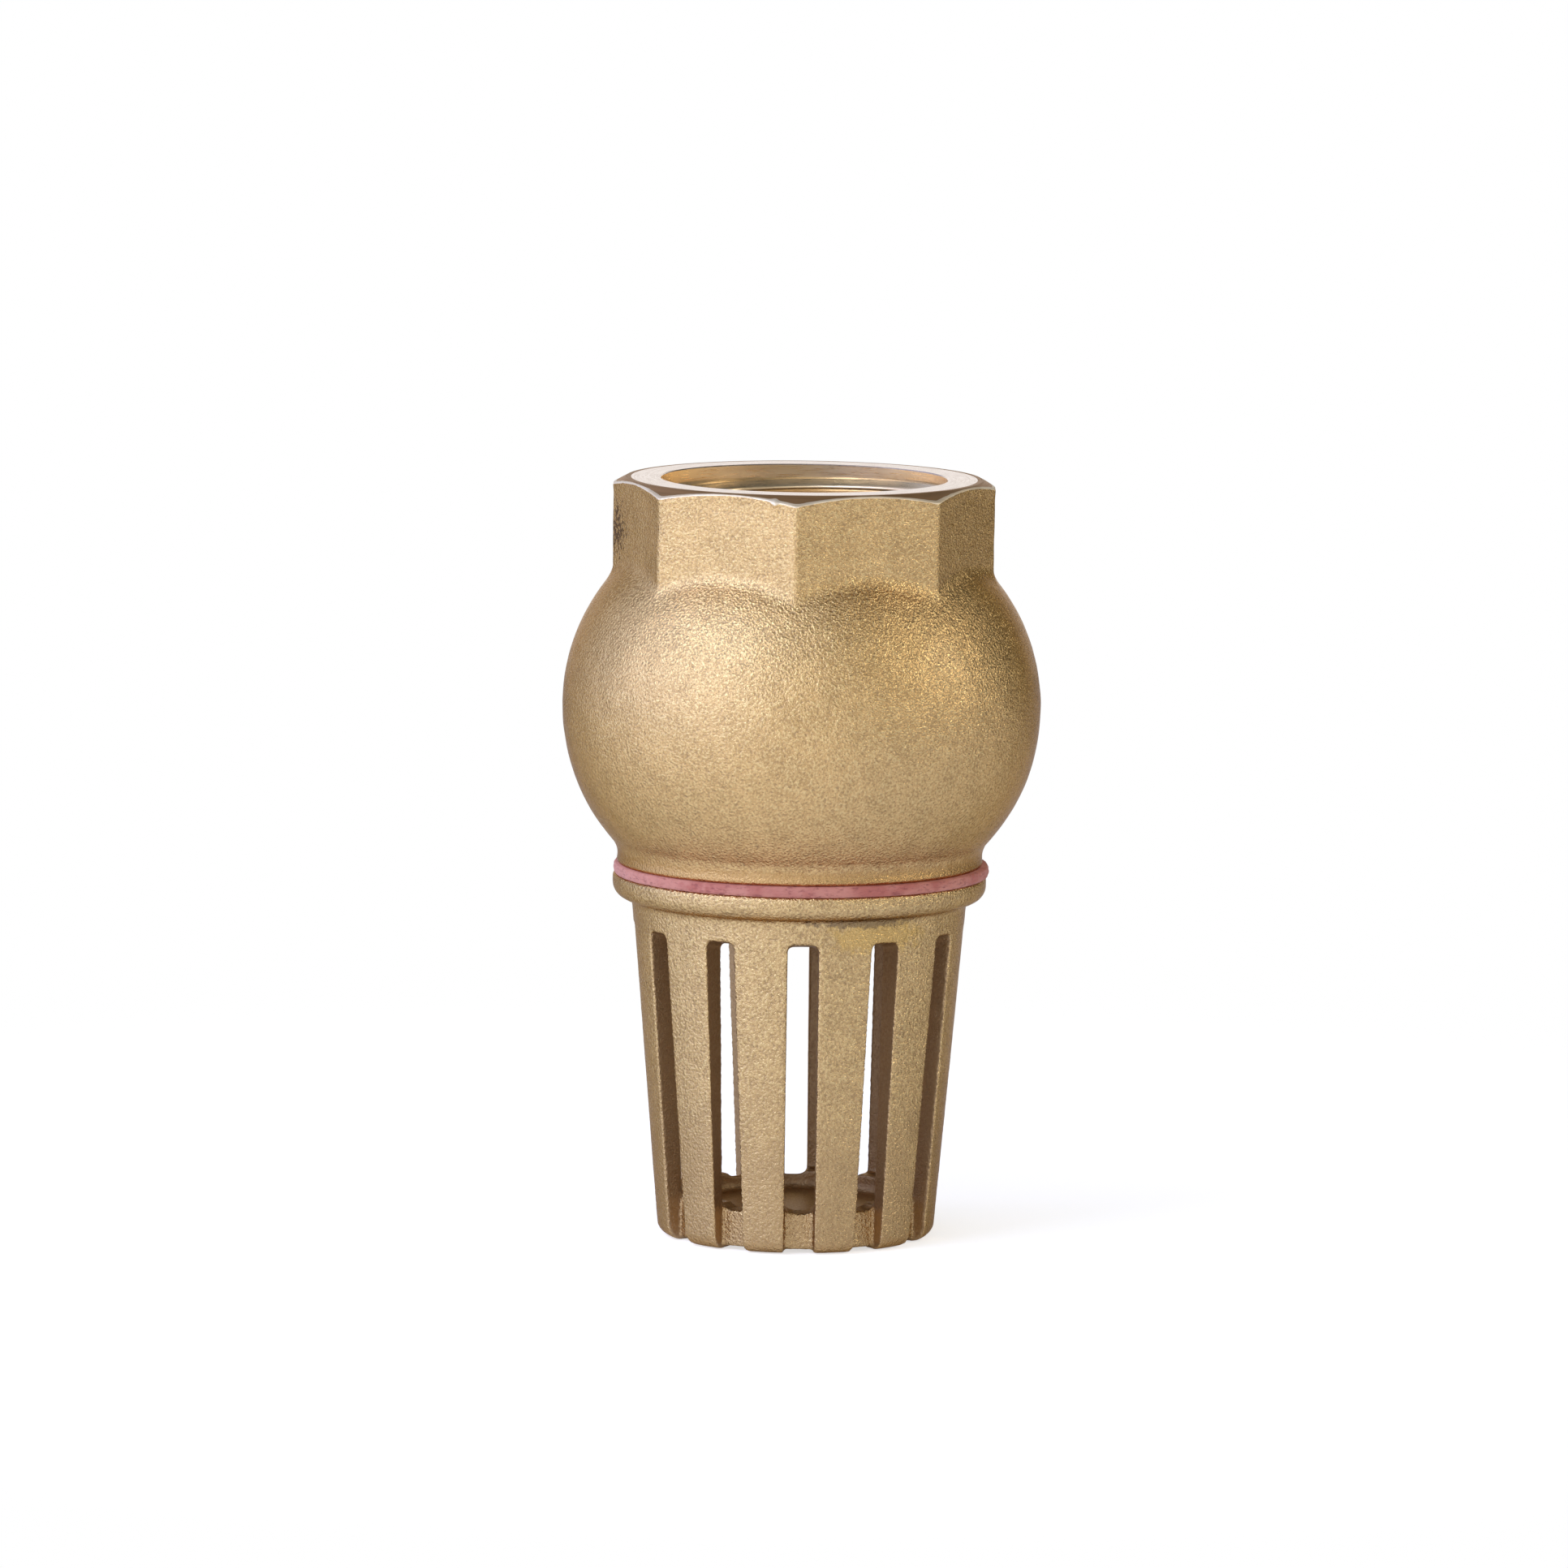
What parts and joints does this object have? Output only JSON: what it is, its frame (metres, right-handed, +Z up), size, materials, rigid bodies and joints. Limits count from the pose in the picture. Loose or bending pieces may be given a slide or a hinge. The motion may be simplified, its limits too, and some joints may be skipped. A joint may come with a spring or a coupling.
{
  "type": "foot valve",
  "caption": "Brass foot valve: ball-shaped body with an octagonal threaded collar, spring-loaded poppet inside and a slotted strainer basket below.",
  "frame": {"origin": "centre of the plane that the strainer's rib ends stand on", "axes": "+Z up the pipe, out of the threaded mouth; -Y is the front, near a corner of the octagonal collar"},
  "size_m": [0.0574, 0.0574, 0.0913],
  "materials": {
    "cast_brass": "sand-cast, blasted, satin",
    "strainer_brass": "sand-cast, blasted, satin",
    "turned_brass": "turned, bright",
    "fibre": "vulcanised fibre sheet, dull, cut edge",
    "nitrile_rubber": "moulded, matt black",
    "spring_steel": "drawn stainless wire"
  },
  "bodies": {
    "valve": {"valve_body": "cast_brass", "strainer_basket": "strainer_brass", "fibre_gasket": "fibre", "return_spring": "spring_steel"},
    "poppet": {"spindle": "turned_brass", "valve_disc": "turned_brass", "seal_ring": "nitrile_rubber", "wing_guide": "turned_brass", "spring_washer": "spring_steel", "spindle_nut": "turned_brass"}
  },
  "joints": [
    {"name": "poppet_lift", "type": "slide", "parent": "valve", "child": "poppet", "axis": [0, 0, 1], "range_m": [0, 0.008], "stiffness_N_per_m": 100, "springref_m": -0.006, "deforming": ["return_spring"]}
  ]
}
